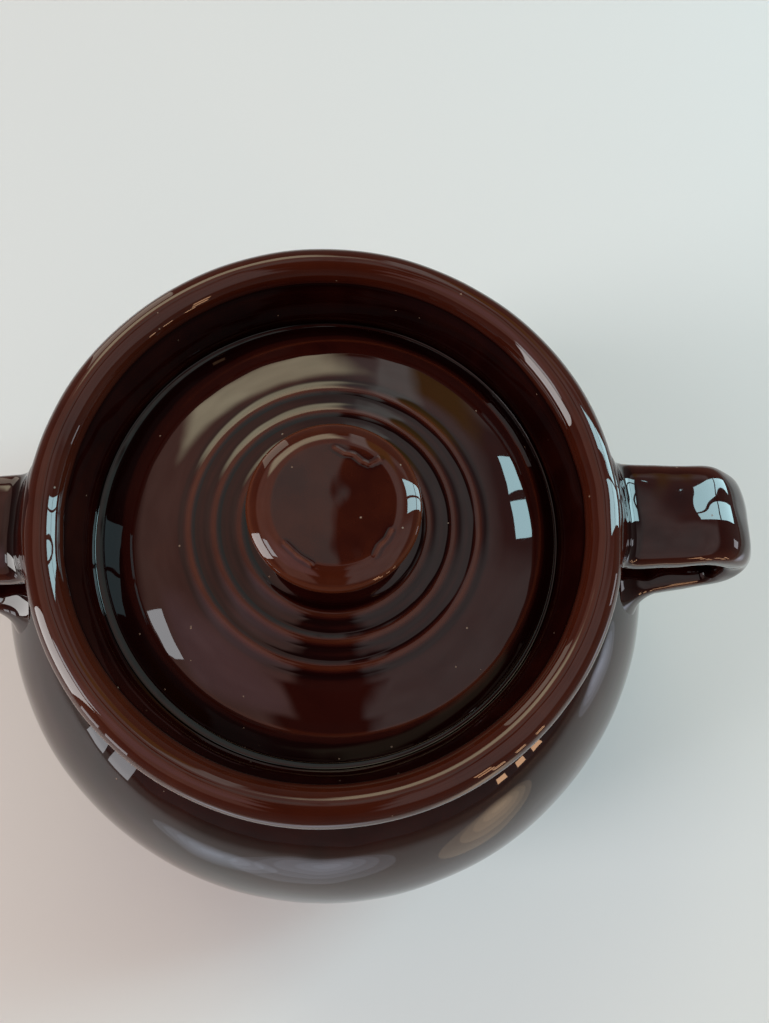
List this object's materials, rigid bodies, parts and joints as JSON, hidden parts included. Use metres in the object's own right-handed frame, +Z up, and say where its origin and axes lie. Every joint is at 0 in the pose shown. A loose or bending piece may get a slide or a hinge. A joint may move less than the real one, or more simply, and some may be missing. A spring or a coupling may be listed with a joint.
{
  "type": "bean pot",
  "caption": "Squat, bulging stoneware bean pot with a rolled rim, strap loop handles and an inset ringed lid that lifts off by a mushroom knob.",
  "frame": {"origin": "centre of the foot, on the surface the pot stands on", "axes": "+Z up through the middle of the pot, +X through the right handle, -Y towards the front"},
  "size_m": [0.2358, 0.202, 0.1429],
  "materials": {
    "pot_glaze": "glossy dark brown glaze, red-brown where it thins on the rim, bare clay foot",
    "handle_glaze": "glossy dark brown glaze, thinner on the edges",
    "lid_glaze": "glossy dark brown glaze, red-brown on the rings",
    "knob_glaze": "glossy brown glaze, orange-brown round the edge"
  },
  "bodies": {
    "pot": {"pot_body": "pot_glaze", "left_handle": "handle_glaze", "right_handle": "handle_glaze"},
    "lid": {"lid": "lid_glaze", "lid_knob": "knob_glaze"}
  },
  "joints": [
    {"name": "lid_lift", "type": "slide", "parent": "pot", "child": "lid", "axis": [0, 0, 1], "range_m": [0, 0.08]}
  ]
}
